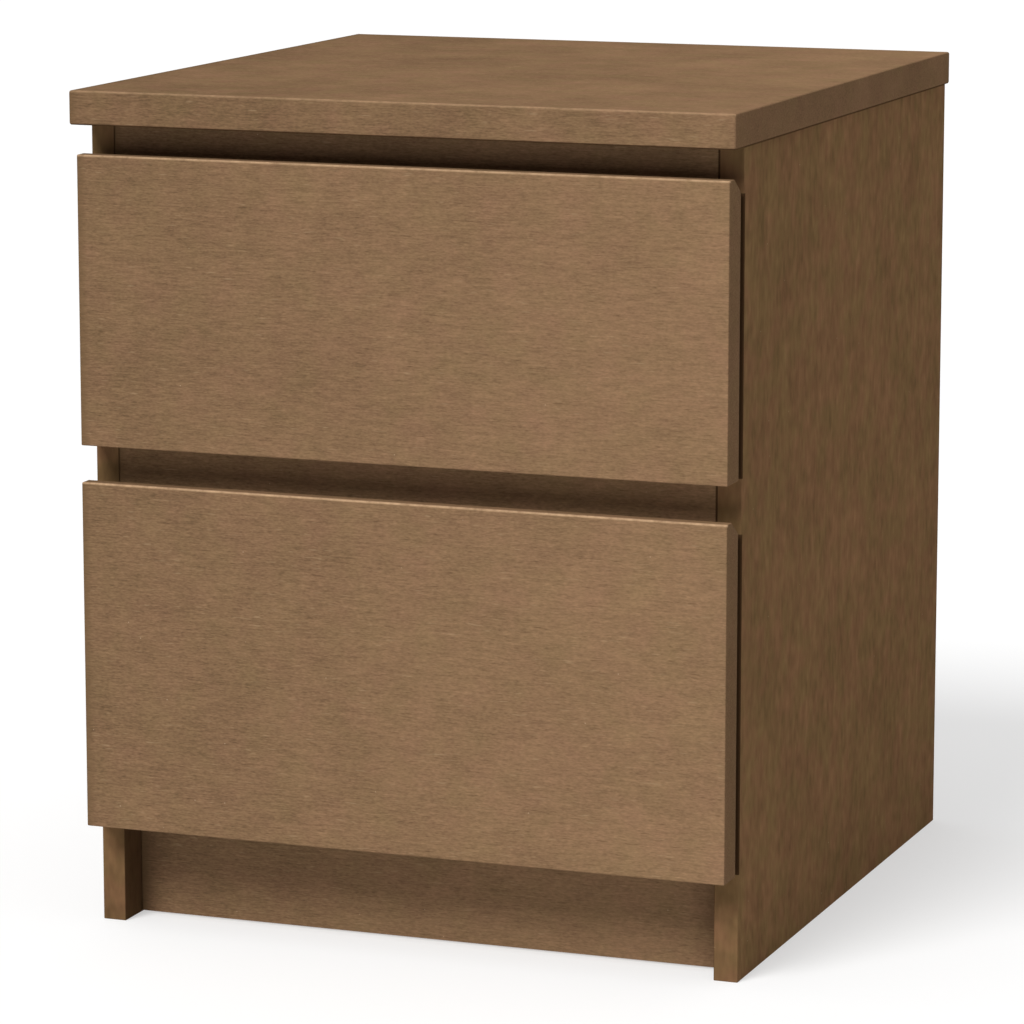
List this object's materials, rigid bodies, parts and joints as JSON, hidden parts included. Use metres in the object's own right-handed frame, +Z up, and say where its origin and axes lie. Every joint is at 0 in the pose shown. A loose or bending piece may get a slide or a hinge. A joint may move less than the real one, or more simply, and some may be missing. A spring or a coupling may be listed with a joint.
{
  "type": "two-drawer nightstand",
  "caption": "Handle-less bedside chest of stained boards whose drawers slide forward on roller runners and are pulled open by a bevelled upper edge.",
  "frame": {"origin": "middle of the footprint on the floor, below the centre of the top panel", "axes": "+Z up, +X to the right when facing the drawer fronts, drawers open towards -Y"},
  "size_m": [0.446, 0.48, 0.55],
  "materials": {
    "stained_veneer": "matt brown stain over fine straight grain",
    "drawer_foil": "matt printed foil in the same brown",
    "fibreboard": "thin printed fibreboard, matt",
    "coated_steel": "satin epoxy coating",
    "nylon": "natural nylon",
    "zinc_plated_steel": "bright zinc plating",
    "zinc_casting": "dull zinc casting",
    "beech": "plain turned beech"
  },
  "bodies": {
    "carcase": {"top_panel": "stained_veneer", "left_side_panel": "stained_veneer", "right_side_panel": "stained_veneer", "top_front_rail": "stained_veneer", "middle_front_rail": "stained_veneer", "plinth_board": "stained_veneer", "rear_bottom_rail": "stained_veneer", "back_panel": "fibreboard", "back_panel_nails": "zinc_plated_steel", "carcase_cam_bolts": "zinc_plated_steel", "carcase_cam_locks": "zinc_casting", "wooden_dowels": "beech", "anti_tip_bracket": "zinc_plated_steel", "anti_tip_bracket_screws": "zinc_plated_steel", "cabinet_roller_rivets": "zinc_plated_steel", "cabinet_runner_screws": "zinc_plated_steel", "cabinet_runner_upper_left": "coated_steel", "cabinet_runner_upper_right": "coated_steel", "cabinet_runner_lower_left": "coated_steel", "cabinet_runner_lower_right": "coated_steel"},
    "upper_drawer": {"upper_drawer_front": "stained_veneer", "upper_drawer_left_side": "drawer_foil", "upper_drawer_right_side": "drawer_foil", "upper_drawer_back": "drawer_foil", "upper_drawer_bottom": "fibreboard", "upper_drawer_left_runner": "coated_steel", "upper_drawer_right_runner": "coated_steel", "upper_drawer_cam_bolts": "zinc_plated_steel", "upper_drawer_cam_locks": "zinc_casting", "upper_drawer_back_screws": "zinc_plated_steel", "upper_drawer_roller_rivets": "zinc_plated_steel", "upper_drawer_runner_screws": "zinc_plated_steel"},
    "lower_drawer": {"lower_drawer_front": "stained_veneer", "lower_drawer_left_side": "drawer_foil", "lower_drawer_right_side": "drawer_foil", "lower_drawer_back": "drawer_foil", "lower_drawer_bottom": "fibreboard", "lower_drawer_left_runner": "coated_steel", "lower_drawer_right_runner": "coated_steel", "lower_drawer_cam_bolts": "zinc_plated_steel", "lower_drawer_cam_locks": "zinc_casting", "lower_drawer_back_screws": "zinc_plated_steel", "lower_drawer_roller_rivets": "zinc_plated_steel", "lower_drawer_runner_screws": "zinc_plated_steel"},
    "cabinet_roller_upper_left": {"cabinet_roller_upper_left": "nylon"},
    "upper_drawer_left_roller": {"upper_drawer_left_roller": "nylon"},
    "cabinet_roller_upper_right": {"cabinet_roller_upper_right": "nylon"},
    "upper_drawer_right_roller": {"upper_drawer_right_roller": "nylon"},
    "cabinet_roller_lower_left": {"cabinet_roller_lower_left": "nylon"},
    "lower_drawer_left_roller": {"lower_drawer_left_roller": "nylon"},
    "cabinet_roller_lower_right": {"cabinet_roller_lower_right": "nylon"},
    "lower_drawer_right_roller": {"lower_drawer_right_roller": "nylon"}
  },
  "joints": [
    {"name": "upper_drawer_slide", "type": "slide", "parent": "carcase", "child": "upper_drawer", "axis": [0, -1, 0], "range_m": [0, 0.3]},
    {"name": "lower_drawer_slide", "type": "slide", "parent": "carcase", "child": "lower_drawer", "axis": [0, -1, 0], "range_m": [0, 0.3]},
    {"name": "cabinet_roller_upper_left_spin", "type": "hinge", "parent": "carcase", "child": "cabinet_roller_upper_left", "pos_m": [-0.1986, -0.195, 0.3495], "axis": [1, 0, 0], "continuous": true},
    {"name": "upper_drawer_left_roller_spin", "type": "hinge", "parent": "upper_drawer", "child": "upper_drawer_left_roller", "pos_m": [-0.1974, 0.1778, 0.347], "axis": [1, 0, 0], "continuous": true},
    {"name": "cabinet_roller_upper_right_spin", "type": "hinge", "parent": "carcase", "child": "cabinet_roller_upper_right", "pos_m": [0.1986, -0.195, 0.3495], "axis": [1, 0, 0], "continuous": true},
    {"name": "upper_drawer_right_roller_spin", "type": "hinge", "parent": "upper_drawer", "child": "upper_drawer_right_roller", "pos_m": [0.1974, 0.1778, 0.347], "axis": [1, 0, 0], "continuous": true},
    {"name": "cabinet_roller_lower_left_spin", "type": "hinge", "parent": "carcase", "child": "cabinet_roller_lower_left", "pos_m": [-0.1986, -0.195, 0.0975], "axis": [1, 0, 0], "continuous": true},
    {"name": "lower_drawer_left_roller_spin", "type": "hinge", "parent": "lower_drawer", "child": "lower_drawer_left_roller", "pos_m": [-0.1974, 0.1778, 0.095], "axis": [1, 0, 0], "continuous": true},
    {"name": "cabinet_roller_lower_right_spin", "type": "hinge", "parent": "carcase", "child": "cabinet_roller_lower_right", "pos_m": [0.1986, -0.195, 0.0975], "axis": [1, 0, 0], "continuous": true},
    {"name": "lower_drawer_right_roller_spin", "type": "hinge", "parent": "lower_drawer", "child": "lower_drawer_right_roller", "pos_m": [0.1974, 0.1778, 0.095], "axis": [1, 0, 0], "continuous": true}
  ],
  "couplings": [
    {"joint": "cabinet_roller_upper_left_spin", "follows": "upper_drawer_slide", "rad_per_m": 105.26},
    {"joint": "upper_drawer_left_roller_spin", "follows": "upper_drawer_slide", "rad_per_m": 105.26},
    {"joint": "cabinet_roller_upper_right_spin", "follows": "upper_drawer_slide", "rad_per_m": 105.26},
    {"joint": "upper_drawer_right_roller_spin", "follows": "upper_drawer_slide", "rad_per_m": 105.26},
    {"joint": "cabinet_roller_lower_left_spin", "follows": "lower_drawer_slide", "rad_per_m": 105.26},
    {"joint": "lower_drawer_left_roller_spin", "follows": "lower_drawer_slide", "rad_per_m": 105.26},
    {"joint": "cabinet_roller_lower_right_spin", "follows": "lower_drawer_slide", "rad_per_m": 105.26},
    {"joint": "lower_drawer_right_roller_spin", "follows": "lower_drawer_slide", "rad_per_m": 105.26}
  ]
}
